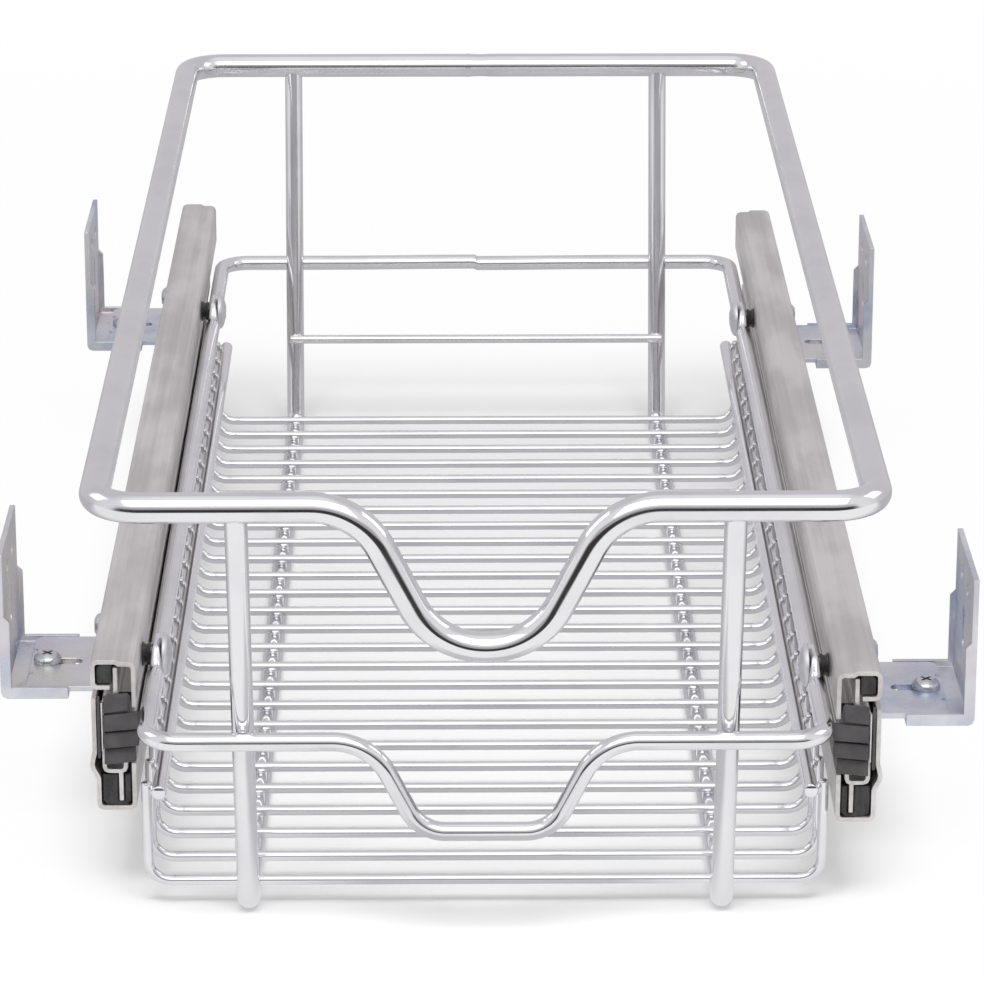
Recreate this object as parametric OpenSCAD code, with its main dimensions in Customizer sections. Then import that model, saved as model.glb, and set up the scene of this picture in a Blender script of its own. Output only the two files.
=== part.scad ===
// Pull-out wire basket on two side-mounted telescopic slides, with four adjustable cabinet brackets.
// +X is to the right seen from the front, +Y runs to the back of the cabinet, +Z is up.
// The origin is under the middle of the whole part, on the plane that the two base wires stand on.
// Lengths are in millimetres. The basket is modelled pushed right in.

/* [Overall] */
// Width over the outer faces of the four bracket legs
overall_w = 266; // [240:0.5:300]
// Height from the base wires' underside to the top of the rim
overall_h = 130; // [115:1:160]

/* [Rim] */
// Diameter of the rim rod
rim_d = 8; // [6:0.1:9]
// How far the centres of the rim's side bars stand outside the slides' inner faces
rim_overhang = 7; // [3:0.5:9]
// How far the front of the rim stands ahead of the left slide
rim_lead = 45; // [36:1:60]
// Length of the rim over the outside of its rods
rim_l = 473; // [440:1:490]
// Bend radius at the rim's corners, to the rod's centre
rim_corner_r = 12.5; // [10:0.5:20]
// Depth of the dip in the rim's front bar
rim_dip = 38; // [26:0.5:44]
// Half width of the flat bottom of the rim's dip
rim_dip_flat = 0.2; // [0.2:0.1:12]
// Bend radii at the bottom and the top of the rim's dip
rim_dip_low_r = 21; // [12:0.5:26]
rim_dip_top_r = 20; // [12:0.5:26]

/* [Runner frame] */
// Diameter of the runner frame's rod
runner_d = 5; // [4:0.1:6]
// Height of the runner frame's centre
runner_z = 57; // [54:0.5:60]
// Bend radius at the runner frame's corners, to the rod's centre
runner_corner_r = 9; // [6:0.5:14]
// Depth of the dip in the runner frame's front bar
runner_dip = 25.5; // [18:0.5:32]
// Half width of the flat bottom of the runner frame's dip
runner_dip_flat = 10.5; // [2:0.5:20]
// Bend radii at the bottom and the top of the runner frame's dip
runner_dip_low_r = 11; // [8:0.5:20]
runner_dip_top_r = 16; // [10:0.5:20]
// Gap between the frame's side bars and the slides
runner_gap = 1.5; // [1:0.1:3]
// Thickness of the pressed lugs in the frame's side bars
lug_t = 3.2; // [2.4:0.1:4]
// Distance from the slide's front end to the front lug
lug_y = 28; // [20:1:60]
// Distance between the front and rear lugs
lug_spacing = 320; // [288:1:352]

/* [Base wires] */
// Diameter of the two long base wires
base_d = 6; // [4:0.1:7]
// Distance between the two base wires
base_w = 127; // [90:1:150]
// Bend radius at the foot of each upright, to the wire's centre
base_bend_r = 5; // [4:0.5:8]
// Distance from the slide's front end forward to the foot of the front uprights
base_lead = 10; // [4:0.5:20]
// Distance between the feet of the front and rear uprights
base_l = 406.5; // [396:0.5:420]

/* [Floor] */
// Number of floor wires
floor_count = 26; // [10:1:30]
// Diameter of a floor wire
floor_d = 2.8; // [2:0.1:3.4]
// Distance from the first floor wire to the last
floor_l = 393; // [380:1:396]
// Gap between the upturned wires and the slides
floor_gap = 1.2; // [0.8:0.1:4]
// Height of the wires' free tips
tip_z = 36; // [30:0.5:44]
// Bend radius of the floor wires, to the wire's centre
floor_bend_r = 6; // [4:0.5:12]
// Diameter of the two side rods inside the tips
side_rod_d = 4; // [3:0.1:5]
// Diameter of the short bar across the rear uprights
cross_bar_d = 3; // [2:0.1:4]

/* [Slides] */
// Length of each slide member
slide_l = 450; // [430:5:480]
// Width of a slide
slide_w = 12; // [11.6:0.1:13]
// Height of a slide
slide_h = 43; // [42:0.5:46]
// Height of the underside of the slides
slide_z = 25.5; // [24:0.5:27]
// Thickness of the rolled steel of the slides
slide_t = 1.2; // [1:0.05:1.3]
// How much further forward the right slide sits than the left one
right_lead = 10; // [0:1:14]
// Travel of each of the two stages
stage_travel = 215; // [150:5:220]

/* [Ball cages] */
// Diameter of the balls
ball_d = 4.4; // [4:0.1:4.5]
// Number of balls in a cage
ball_count = 11; // [5:1:13]
// Distance that a cage keeps from the members' ends when the slide is pulled right out
cage_room = 17.5; // [14:0.5:40]

/* [Brackets] */
// Distance from a slide's outer face to the outer face of the bracket leg
bracket_reach = 28; // [24:0.5:34]
// Width of a bracket along the slide
bracket_w = 42; // [34:1:50]
// Height of the bracket's leg
leg_h = 42; // [34:1:50]
// Height of the underside of the brackets
bracket_z = 42; // [42:0.5:44]
// Thickness of the bracket steel
bracket_t = 1.5; // [1.2:0.1:1.8]
// Distance from the slide's front end to the front bracket
bracket_y = 39; // [20:1:60]
// Distance between the front and rear brackets
bracket_spacing = 320; // [288:1:340]
// How much further forward the right brackets sit on their slide
right_bracket_lead = 12; // [0:1:12]
// Diameter of the two round holes and width of the upright slot in each leg
leg_hole_d = 4.4; // [3.6:0.1:6]
// Distance between the two round holes of a leg
leg_hole_spacing = 15; // [10:1:22]
// Length of the slot in each leg
leg_slot_l = 12; // [8:0.5:14]
// Distance from the leg's top down to the round holes, and to the middle of the slot
leg_hole_drop = 8; // [6:0.5:12]
leg_slot_drop = 21; // [18:0.5:26]

/* [Fasteners] */
// Thread diameter of the clamp screws, bracket bolts and lug screws
screw_d = 4; // [3.6:0.1:4.4]
// Head diameter of the clamp screws
clamp_head_d = 7.8; // [7:0.1:9]
// Head diameter of the bracket bolts
pan_head_d = 7.2; // [6.6:0.1:7.8]
// Head diameter of the lug screws
lug_head_d = 12.4; // [8:0.2:14]

/* [Hidden] */
$fn = 28;
// How far a rod's straight runs reach into its bends, and how much fuller the bends are
bend_bite = 0.25;
bend_swell = 0.03;
// Clearance where two pieces run past each other
run_gap = 0.3;
// Clearance round a screw in its hole
hole_gap = 0.1;
chrome = [0.86, 0.86, 0.88];
galvanised = [0.72, 0.71, 0.69];
zinc = [0.70, 0.74, 0.80];
black_plastic = [0.10, 0.10, 0.11];
ball_steel = [0.80, 0.80, 0.82];

// The slides stand between the brackets, and the basket hangs between the slides
slide_gap = overall_w - 2 * (bracket_reach + slide_w);
rim_w = slide_gap + 2 * rim_overhang;
floor_w = slide_gap - 2 * floor_gap;

// The whole part runs from the front of the rim to the back of the left slide
slide_front_y = rim_lead - (rim_lead + slide_l) / 2;
bead_swell = 0.4;
rim_z = overall_h - (rim_d + bead_swell) / 2;
rim_front_y = slide_front_y - rim_lead + (rim_d + bend_swell) / 2;
rim_rear_y = rim_front_y + rim_l - rim_d;

// Base wires: a bottom run with an upright that leans outwards at each end
base_z = (base_d + bend_swell) / 2;
foot_front = [slide_front_y - base_lead, base_z];
foot_rear = [slide_front_y - base_lead + base_l, base_z];
top_front = [rim_front_y, rim_z];
top_rear = [rim_rear_y, rim_z];
function upright_y(foot, top, z) = foot[0] + (top[0] - foot[0]) * (z - foot[1]) / (top[1] - foot[1]);
// Distance along Y between an upright and a bar laid against it, allowing for the lean
function beside(foot, top, sum_d) = sum_d / 2 * norm(top - foot) / (top[1] - foot[1]);

// Runner frame: its front bar lies before the front uprights, its rear bar behind the rear ones
runner_x = slide_gap / 2 - runner_d / 2 - runner_gap;
runner_front_y = upright_y(foot_front, top_front, runner_z) - beside(foot_front, top_front, runner_d + base_d);
runner_rear_y = upright_y(foot_rear, top_rear, runner_z) + beside(foot_rear, top_rear, runner_d + base_d);

// Floor
floor_z = base_z + base_d / 2 + floor_d / 2;
floor_x = floor_w / 2 - floor_d / 2;
// The first floor wire lies just behind the bends at the feet of the front uprights
front_lean = atan2(foot_front[0] - top_front[0], top_front[1] - foot_front[1]);
floor_start = 0.35;
floor_front_y = foot_front[0] + base_bend_r * tan(45 - front_lean / 2) + floor_start;
floor_pitch = floor_l / (floor_count - 1);
side_rod_x = floor_x - floor_d / 2 - side_rod_d / 2;
tip_over = 0.4;
side_rod_z = tip_z - tip_over - side_rod_d / 2;
side_rod_end = 1;
side_rod_over = floor_d / 2 + side_rod_end;
cross_bar_y = upright_y(foot_rear, top_rear, side_rod_z) - beside(foot_rear, top_rear, cross_bar_d + base_d);
cross_bar_short = 2.4;
cross_bar_l = base_w + base_d - cross_bar_short;

// Slide section: x from the inner face outwards, y from the front end back, z from the underside up
slide_x = slide_gap / 2;
inner_wall_x = slide_t;
outer_wall_x = slide_w - slide_t;
roll = 1.2;
flange_l = 13.5;
top_flange_z = slide_h - flange_l;
crown = 0.6;
crown_x = 4.9;
crown_run = 1;
curl_x = 6.9;
ball_room = 0.4;
curl_z = slide_h - slide_t * 6.5;
race_top_z = slide_h - slide_t;
race_bottom_z = curl_z + slide_t / 2;
upper_web_x = outer_wall_x - ball_d - ball_room - slide_t / 2;
web_room = 1;
upper_web_top_z = race_top_z - web_room;
mid_web_x = slide_w - slide_t * 2.65;
web_drop = 4.3;
web_top_z = race_bottom_z - web_drop;
shelf_z = 11.2;
lip_x = 3.2;
lip_z = 15.6;
channel_inner_x = 1;
channel_inset = 1.5;
channel_outer_x = slide_w - channel_inset;
channel_flange_z = 13.5;
lower_web_x = channel_outer_x - slide_t / 2 - ball_d - ball_room - slide_t / 2;
lower_web_room = 1.4;
lower_web_z = slide_t + lower_web_room;
step_z = 9;
step_h = 7.4;
step_out = 0.75;
cabinet_web_z = 32;
lug_rise = 2.5;
lug_z = runner_z + lug_rise - slide_z;
lug_x = runner_x;
lug_eye_r = 4.5;
lug_eye_half_l = 4;
spacer_d = 7;

// Cages: midway in each stage, so that they stay between the members over the whole travel
cage_l = slide_l - stage_travel - 2 * cage_room;
cage_y = (slide_l - cage_l) / 2;
cage_end = 10;
ball_pitch = (cage_l - 2 * cage_end) / (ball_count - 1);
cage_h = 5.4;
cage_t = 1.6;
ball_gap = 0.1;
upper_ball_x = outer_wall_x - ball_room / 2 - ball_d / 2;
upper_ball_z = (race_bottom_z + race_top_z) / 2;
lower_ball_x = channel_outer_x - slide_t / 2 - ball_room / 2 - ball_d / 2;
lower_ball_z = slide_t + run_gap + cage_h / 2;

// Front blocks and bumper
block_l = 11.4;
block_y = 0.6;
bumper_front = 2.5;
bumper_body_l = 14;
bumper_rise = 3.4;
bumper_z = shelf_z + bumper_rise;
bumper_step = 0.8;
bumper_groove = 0.5;
bumper_body_in = 0.7;
bumper_body_x = mid_web_x - slide_t / 2;

// Brackets: x from the slide's outer face outwards
bracket_x = slide_x + slide_w;
rim_up = 1.7;
bracket_fold = 3;
fold_r = 1.2;
plate_gap = 0.2;
plate_inset = bracket_t + plate_gap;
angle_plate_l = 18.5;
plate_short = 6.5;
plate_reach = bracket_reach - plate_short;
plate_corner_r = 2.5;
clamp_inset = 11.2;
clamp_x = bracket_reach - clamp_inset;
clamp_slot_l = 12;
clamp_slot_over = 1.4;
slot_gap = 0.3;
flange_rise = 12;
flange_h = flange_rise + bracket_t;
bolt_inset = 9.5;
bolt_y = bracket_w - bolt_inset;
bolt_rise = 9.3;
bolt_z = bracket_z + bolt_rise;
leg_rim_drop = 18;
leg_hole_z = bracket_z + leg_h - leg_hole_drop;
leg_slot_z = bracket_z + leg_h - leg_slot_drop;
nut_t = 3;
nut_w = 7;
clamp_head_h = 2.6;
bolt_head_h = 2.8;
lug_head_h = 3.2;
thread_over = 1.2;

LEFT = -1;
RIGHT = 1;
SIDES = [LEFT, RIGHT];
function side_front_y(side) = slide_front_y - (side == RIGHT ? right_lead : 0);
function bracket_start(side, rear) =
    bracket_y - (side == RIGHT ? right_bracket_lead : 0) + (rear ? bracket_spacing : 0);

// Places what it draws in the right-hand slide's section, or mirrored in the left-hand one
module on_side(side) {
    mirror([side == LEFT ? 1 : 0, 0, 0]) translate([slide_x, side_front_y(side), slide_z]) children();
}

// The same at a bracket: x from the slide's outer face, y from the bracket's front edge, z from the base
module on_bracket(side, rear) {
    mirror([side == LEFT ? 1 : 0, 0, 0])
        translate([bracket_x, side_front_y(side) + bracket_start(side, rear), 0]) children();
}

function unit(v) = v / norm(v);
function turned(v) = [-v[1], v[0]];
function heading(v) = atan2(v[1], v[0]);
function wrapped(a) = a > 180 ? a - 360 : a < -180 ? a + 360 : a;
// Turn at corner i of a path, and the length that its bend takes from each leg
function turn_at(p, i) = wrapped(heading(p[i + 1] - p[i]) - heading(p[i] - p[i - 1]));
function setback(p, r, i) = i == 0 || i == len(p) - 1 ? 0 : r[i] * tan(abs(turn_at(p, i)) / 2);

// A rod of diameter d bent along path p in the XY plane, with bend radius r[i] at corner i.
// Each straight run reaches a little way into its bends, which are a hair's breadth fuller.
module bent_rod(p, r, d) {
    last = len(p) - 1;
    for (i = [0:last - 1]) {
        run = unit(p[i + 1] - p[i]);
        before = i == 0 ? 0 : bend_bite;
        after = i == last - 1 ? 0 : bend_bite;
        start = p[i] + run * (setback(p, r, i) - before);
        length = norm(p[i + 1] - p[i]) - setback(p, r, i) - setback(p, r, i + 1);
        if (length > 0.05) translate([start[0], start[1], 0]) rotate([0, 90, heading(run)])
            cylinder(d = d, h = length + before + after);
    }
    for (i = [1:last - 1]) {
        run = unit(p[i] - p[i - 1]);
        turn = turn_at(p, i);
        hand = turn > 0 ? 1 : -1;
        centre = p[i] - run * setback(p, r, i) + turned(run) * r[i] * hand;
        translate([centre[0], centre[1], 0])
            rotate([0, 0, heading(run) - 90 * hand + (turn < 0 ? turn : 0)])
                rotate_extrude(angle = abs(turn), $fn = 48) translate([r[i], 0])
                    circle(d = d + bend_swell, $fn = 24);
    }
}

// Rolled sheet of thickness t along centre line p, as an outline
function one_side(p, t, hand) = [
    for (i = [0:len(p) - 1])
        let (a = i > 0 ? unit(p[i] - p[i - 1]) : unit(p[1] - p[0]),
             b = i < len(p) - 1 ? unit(p[i + 1] - p[i]) : a,
             n = unit(turned(a) + turned(b)))
            p[i] + hand * t / 2 / (n * turned(a)) * n
];
function backwards(p) = [for (i = [len(p) - 1:-1:0]) p[i]];
function sheet(p, t) = concat(one_side(p, t, 1), backwards(one_side(p, t, -1)));

// The three points of a rolled bend at corner c, between runs that leave it along a and b
function rolled(c, a, b, r = roll) = [c + a * r, c + (a + b) * r * 0.29, c + b * r];

// Stands an outline drawn in X and Z upright and runs it back from y0 for length l
module along_y(y0, l) {
    translate([0, y0 + l, 0]) rotate([90, 0, 0]) linear_extrude(l) children();
}

// Half of a front bar's dip: flat bottom of half width flat, then a bottom bend, a wall and a top bend
dip_wall = 63;
function dip_half_w(depth, flat, r_bottom, r_top) =
    flat + (r_bottom + r_top) * tan(dip_wall / 2) + depth / tan(dip_wall);

// A closed rectangular rod frame in the plane z, with a dip in the middle of its front bar
module dipped_frame(half_w, front_y, rear_y, z, d, corner_r, depth, flat, r_bottom, r_top) {
    dip_w = dip_half_w(depth, flat, r_bottom, r_top);
    foot_w = dip_w - r_top * tan(dip_wall / 2) - depth / tan(dip_wall);
    knee_w = foot_w + depth / tan(dip_wall);
    translate([0, 0, z])
        bent_rod([[-dip_w + bend_bite, front_y], [-half_w, front_y], [-half_w, rear_y], [half_w, rear_y],
                  [half_w, front_y], [dip_w - bend_bite, front_y]],
                 [0, corner_r, corner_r, corner_r, corner_r, 0], d);
    translate([0, front_y, z]) rotate([90, 0, 0])
        bent_rod([[-dip_w, 0], [-knee_w, 0], [-foot_w, -depth], [foot_w, -depth], [knee_w, 0], [dip_w, 0]],
                 [0, r_top, r_bottom, r_bottom, r_top, 0], d);
}

// The bead where the ends of a closed frame are butt welded, in the middle of the rear bar
module weld_bead(y, z, d) {
    translate([0, y, z]) rotate([0, 90, 0]) {
        cylinder(d = d + bead_swell, h = 1.6, center = true);
        translate([0, 0, 0.8]) cylinder(d1 = d + bead_swell, d2 = d - 0.1, h = 0.7);
        translate([0, 0, -1.5]) cylinder(d1 = d - 0.1, d2 = d + bead_swell, h = 0.7);
    }
}

// Pan head standing on z = 0 with a cross recess in its top
module pan_head(d, h) {
    difference() {
        rotate_extrude() polygon([[0, 0], [d / 2 - 0.2, 0], [d / 2, 0.2], [d / 2, h * 0.42],
                                  [d / 2 - d * 0.06, h * 0.72], [d / 2 - d * 0.16, h * 0.92], [d / 4, h],
                                  [0, h]]);
        for (a = [45, 135]) rotate([0, 0, a]) translate([-d * 0.27, -d * 0.055, h * 0.45])
            cube([d * 0.54, d * 0.11, h]);
    }
}

module rim() {
    color(chrome) {
        dipped_frame(rim_w / 2, rim_front_y, rim_rear_y, rim_z, rim_d, rim_corner_r, rim_dip, rim_dip_flat,
                     rim_dip_low_r, rim_dip_top_r);
        weld_bead(rim_rear_y, rim_z, rim_d);
    }
}

// The places of the four lugs and their screws: side and distance along its slide
LUGS = [for (side = SIDES, y = [lug_y, lug_y + lug_spacing]) [side, y]];

// What it draws stands at a lug with z pointing outwards from the basket's middle, at height lug_z
module at_lug(lug, x) {
    on_side(lug[0]) translate([x - slide_x, lug[1], lug_z]) rotate([0, 90, 0]) children();
}

module lug_eye(r, t) {
    translate([0, 0, -t / 2]) linear_extrude(t)
        polygon([for (a = [7.5:15:360]) [r * cos(a), r * sin(a) + (a < 180 ? 1 : -1) * lug_eye_half_l]]);
}

// Side bars are pressed flat at the four lugs, and each lug is drilled for its screw
module runner_frame() {
    color(chrome) difference() {
        union() {
            difference() {
                dipped_frame(runner_x, runner_front_y, runner_rear_y, runner_z, runner_d, runner_corner_r,
                             runner_dip, runner_dip_flat, runner_dip_low_r, runner_dip_top_r);
                for (lug = LUGS) at_lug(lug, lug_x) {
                    for (face = [-1, 1]) translate([-lug_eye_r, -lug_eye_half_l - lug_eye_r + 0.5,
                                                    face > 0 ? lug_t / 2 : -lug_t / 2 - runner_d])
                        cube([lug_eye_r * 2, (lug_eye_half_l + lug_eye_r) * 2 - 1, runner_d]);
                }
            }
            for (lug = LUGS) at_lug(lug, lug_x) lug_eye(lug_eye_r, lug_t);
            weld_bead(runner_rear_y, runner_z, runner_d);
        }
        for (lug = LUGS) at_lug(lug, lug_x)
            cylinder(d = screw_d + 2 * hole_gap, h = runner_d * 2, center = true);
    }
}

// One long wire: down from the rear of the rim, under the floor and up to the front of the rim
module base_wire(side) {
    color(chrome) difference() {
        translate([side * base_w / 2, 0, 0]) rotate([90, 0, 90])
            bent_rod([top_front, foot_front, foot_rear, top_rear], [0, base_bend_r, base_bend_r, 0], base_d);
        for (top = [top_front, top_rear]) translate([0, top[0], rim_z]) rotate([0, 90, 0])
            cylinder(d = rim_d, h = base_w + 4 * base_d, center = true);
    }
}

module rear_crossbar() {
    color(chrome) translate([0, cross_bar_y, side_rod_z]) rotate([0, 90, 0])
        cylinder(d = cross_bar_d, h = cross_bar_l, center = true);
}

// Each floor wire is a wide U that lies across the base wires with its ends turned up
module floor_wires() {
    color(chrome) for (i = [0:floor_count - 1])
        translate([0, floor_front_y + i * floor_pitch, 0]) rotate([90, 0, 0])
            bent_rod([[-floor_x, tip_z], [-floor_x, floor_z], [floor_x, floor_z], [floor_x, tip_z]],
                     [0, floor_bend_r, floor_bend_r, 0], floor_d);
}

module side_rod(side) {
    color(chrome) translate([side * side_rod_x, floor_front_y - side_rod_over, side_rod_z])
        rotate([-90, 0, 0]) cylinder(d = side_rod_d, h = floor_l + 2 * side_rod_over);
}

module lug_spacers() {
    color(black_plastic) for (lug = LUGS) at_lug(lug, lug_x + lug_t / 2) difference() {
        cylinder(d = spacer_d, h = slide_x - lug_x - lug_t / 2);
        translate([0, 0, -1]) cylinder(d = screw_d + 2 * hole_gap, h = runner_d + 2);
    }
}

module lug_screws() {
    color(zinc) for (lug = LUGS) at_lug(lug, lug_x - lug_t / 2) {
        cylinder(d = screw_d, h = slide_x - lug_x + lug_t / 2 + slide_t + thread_over);
        rotate([180, 0, 0]) pan_head(lug_head_d, lug_head_h);
    }
}

// Basket-side member: an inverted channel with a crowned top and an outer flange curled in under the balls
module top_member(side) {
    t = slide_t;
    low = slide_h - crown - t / 2;
    high = slide_h - t / 2;
    out = slide_w - t / 2;
    path = concat([[t / 2, top_flange_z]], rolled([t / 2, low], [0, -1], [1, 0]),
                  [[crown_x - crown_run / 2, low], [crown_x + crown_run / 2, high]],
                  rolled([out, high], [-1, 0], [0, -1]), rolled([out, curl_z], [0, 1], [-1, 0]),
                  [[curl_x, curl_z]]);
    color(galvanised) on_side(side) difference() {
        along_y(0, slide_l) polygon(sheet(path, t));
        for (y = [lug_y, lug_y + lug_spacing]) translate([-1, y, lug_z]) rotate([0, 90, 0])
            cylinder(d = screw_d + 2 * hole_gap, h = slide_t + 2);
    }
}

// Plastic block that closes the ball race at the front of the top member
module top_block(side) {
    x0 = upper_web_x + slide_t / 2 + run_gap;
    x1 = outer_wall_x - run_gap;
    z0 = race_bottom_z + run_gap;
    z1 = race_top_z;
    color(black_plastic) on_side(side) along_y(block_y, block_l)
        polygon([[x0, z0], [x1 - roll / 2, z0], [x1, z0 + roll / 2], [x1, z1 - roll], [x1 - roll, z1], [x0, z1]]);
}

// Middle member: a thin web that reaches up into the top member, steps out beside the cabinet member
// and ends in a shelf with an upturned lip, with a second web hanging down into the cabinet channel
module middle_member(side) {
    t = slide_t;
    beam = concat([[upper_web_x, upper_web_top_z]], rolled([upper_web_x, web_top_z], [0, 1], [1, 0]),
                  rolled([mid_web_x, web_top_z], [-1, 0], [0, -1]), rolled([mid_web_x, shelf_z], [0, 1], [-1, 0]),
                  rolled([lip_x, shelf_z], [1, 0], [0, 1]), [[lip_x, lip_z]]);
    color(galvanised) on_side(side) {
        along_y(0, slide_l) polygon(sheet(beam, t));
        translate([lower_web_x - t / 2, 0, lower_web_z]) cube([t, slide_l, shelf_z - lower_web_z]);
    }
}

// Stepped plastic bumper pushed into the front of the middle member
module bumper(side) {
    top = top_flange_z - ball_room;
    web = upper_web_x - slide_t / 2 - ball_room;
    peak = curl_z - slide_t / 2 - ball_room;
    steps = 3;
    tier_h = (peak - bumper_z) / steps;
    color(black_plastic) on_side(side) {
        difference() {
            along_y(-run_gap - bumper_front, bumper_front)
                polygon([[0, bumper_z + bumper_step], [bumper_step, bumper_z], [mid_web_x, bumper_z],
                         [mid_web_x + bumper_step, bumper_z + bumper_step],
                         [mid_web_x + bumper_step, peak - bumper_step / 2],
                         [mid_web_x + bumper_step / 2, peak], [web, peak], [web, top], [0, top]]);
            for (i = [1:steps - 1]) translate([-1, -run_gap - bumper_front - 0.01, bumper_z + i * tier_h])
                cube([slide_w + 2, bumper_groove * (i + 1), bumper_groove]);
            translate([-1, -run_gap - bumper_front - 0.01, bumper_z + tier_h * 2 + bumper_groove])
                cube([slide_w + 2, bumper_step, slide_h]);
        }
        translate([inner_wall_x + bumper_body_in, -run_gap, lip_z + run_gap])
            cube([bumper_body_x - inner_wall_x - bumper_body_in, bumper_body_l,
                  top - lip_z - run_gap - ball_room]);
    }
}

// Cabinet-side member: a channel at the bottom whose outer wall steps out and rises as the mounting web
module cabinet_member(side) {
    t = slide_t;
    out = slide_w - t / 2;
    step = [[channel_outer_x, 0, 0], [channel_outer_x, 0.67, 0.16], [out, 0.67, 0.38], [out, 1, 0.57],
            [out, 0.53, 0.81], [out, 0, 1]];
    path = concat([[channel_inner_x, channel_flange_z]], rolled([channel_inner_x, t / 2], [0, 1], [1, 0]),
                  rolled([channel_outer_x, t / 2], [-1, 0], [0, 1]),
                  [for (p = step) [p[0] + p[1] * step_out, step_z + p[2] * step_h]], [[out, cabinet_web_z]]);
    color(galvanised) on_side(side) difference() {
        along_y(0, slide_l) polygon(sheet(path, t));
        for (rear = [0, 1], lead = [0, right_bracket_lead])
            translate([slide_w - slide_t - 1, bracket_y + bolt_y - lead + rear * bracket_spacing,
                       bolt_z - slide_z])
                rotate([0, 90, 0]) cylinder(d = screw_d + 2 * hole_gap, h = slide_t + 3);
    }
}

// Slotted plastic block in the front of the cabinet channel; the middle member's lower web runs in its slot
module front_stop(side) {
    x0 = channel_inner_x + slide_t / 2 + run_gap;
    x1 = channel_outer_x - slide_t / 2 - run_gap;
    z0 = slide_t;
    z1 = shelf_z - slide_t / 2 - 2 * run_gap;
    s0 = lower_web_x - slide_t / 2 - run_gap;
    s1 = lower_web_x + slide_t / 2 + run_gap;
    floor_of_slot = lower_web_z - run_gap;
    color(black_plastic) on_side(side) along_y(block_y, block_l)
        polygon([[x0, z1], [x0, z0 + roll], [x0 + roll, z0], [x1 - roll, z0], [x1, z0 + roll], [x1, z1], [s1, z1],
                 [s1, floor_of_slot], [s0, floor_of_slot], [s0, z1]]);
}

// Ball cage: a flat steel strip with a row of cross-drilled pockets
module cage(side, x, z) {
    color(galvanised) on_side(side) difference() {
        translate([x - cage_t / 2, cage_y, z - cage_h / 2]) cube([cage_t, cage_l, cage_h]);
        for (i = [0:ball_count - 1]) translate([x, cage_y + cage_end + i * ball_pitch, z]) rotate([0, 90, 0])
            cylinder(d = ball_d + 2 * ball_gap, h = cage_t + 2, center = true);
    }
}

module balls(side, x, z) {
    color(ball_steel) on_side(side)
        for (i = [0:ball_count - 1]) translate([x, cage_y + cage_end + i * ball_pitch, z]) sphere(d = ball_d);
}

// Inner bracket plate: a flange bolted to the slide's web and a slotted plate that reaches outwards
module slide_plate(side, rear) {
    w = bracket_w - 2 * plate_inset;
    z = bracket_z + bracket_t;
    color(zinc) on_bracket(side, rear) translate([0, plate_inset, 0]) difference() {
        union() {
            along_y(0, w) polygon(sheet(concat([[bracket_t / 2, z + flange_h]],
                rolled([bracket_t / 2, z + bracket_t / 2], [0, 1], [1, 0], fold_r),
                [[plate_reach, z + bracket_t / 2]]), bracket_t));
        }
        // Rounded outer corners, with a nick beside each
        for (y = [0, w]) translate([plate_reach - plate_corner_r, y, z - 1]) rotate([0, 0, y > 0 ? 0 : -90])
            difference() {
                translate([0, -plate_corner_r, 0])
                    cube([plate_corner_r + 0.5, plate_corner_r + 0.5, bracket_t + 2]);
                translate([0, -plate_corner_r, -1]) cylinder(r = plate_corner_r, h = bracket_t + 4);
            }
        for (y = [w * 0.27, w * 0.73]) translate([plate_reach, y, z - 1])
            cylinder(r = plate_corner_r / 2, h = bracket_t + 2);
        // Slot for the clamp screw
        for (x = [clamp_x - clamp_slot_l / 2 - clamp_slot_over, clamp_x + clamp_slot_over])
            translate([x, w / 2, z - 1]) cylinder(d = screw_d + 2 * slot_gap, h = bracket_t + 2);
        translate([clamp_x - clamp_slot_l / 2 - clamp_slot_over, w / 2 - screw_d / 2 - slot_gap, z - 1])
            cube([clamp_slot_l / 2 + 2 * clamp_slot_over, screw_d + 2 * slot_gap, bracket_t + 2]);
        // Bolt hole in the flange
        translate([-1, bolt_y - plate_inset, bolt_z]) rotate([0, 90, 0])
            cylinder(d = screw_d + 2 * hole_gap, h = bracket_t + 2);
    }
}

// Outer bracket angle: a plate under the slide plate and a tall leg for the cabinet wall, with folded rims
module wall_angle(side, rear) {
    reach = bracket_reach;
    z = bracket_z;
    t = bracket_t;
    start = reach - angle_plate_l;
    color(zinc) on_bracket(side, rear) difference() {
        union() {
            along_y(0, bracket_w) polygon(sheet(concat([[start, z + t / 2]],
                rolled([reach - t / 2, z + t / 2], [-1, 0], [0, 1], fold_r), [[reach - t / 2, z + leg_h]]), t));
            for (y = [0, bracket_w - t]) {
                translate([start, y, z + t / 2]) cube([angle_plate_l - 2 * fold_r, t, t / 2 + rim_up]);
                along_y(y, t) polygon([[reach - bracket_fold, z + t], [reach - t / 2, z + t],
                                       [reach - t / 2, z + leg_h - leg_rim_drop],
                                       [reach - t, z + leg_h - leg_rim_drop],
                                       [reach - bracket_fold, z + leg_h - leg_rim_drop - t]]);
            }
        }
        // Hole for the clamp screw
        translate([clamp_x, bracket_w / 2, z - 1]) cylinder(d = screw_d + 2 * hole_gap, h = t + 2);
        // Round holes and an upright slot for the cabinet's screws
        for (y = [-1, 1]) translate([reach - t - 1, bracket_w / 2 + y * leg_hole_spacing / 2, leg_hole_z])
            rotate([0, 90, 0]) cylinder(d = leg_hole_d, h = t + 2);
        for (end = [-1, 1])
            translate([reach - t - 1, bracket_w / 2, leg_slot_z + end * (leg_slot_l - leg_hole_d) / 2])
                rotate([0, 90, 0]) cylinder(d = leg_hole_d, h = t + 2);
        translate([reach - t - 1, bracket_w / 2 - leg_hole_d / 2, leg_slot_z - (leg_slot_l - leg_hole_d) / 2])
            cube([t + 2, leg_hole_d, leg_slot_l - leg_hole_d]);
    }
}

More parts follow.
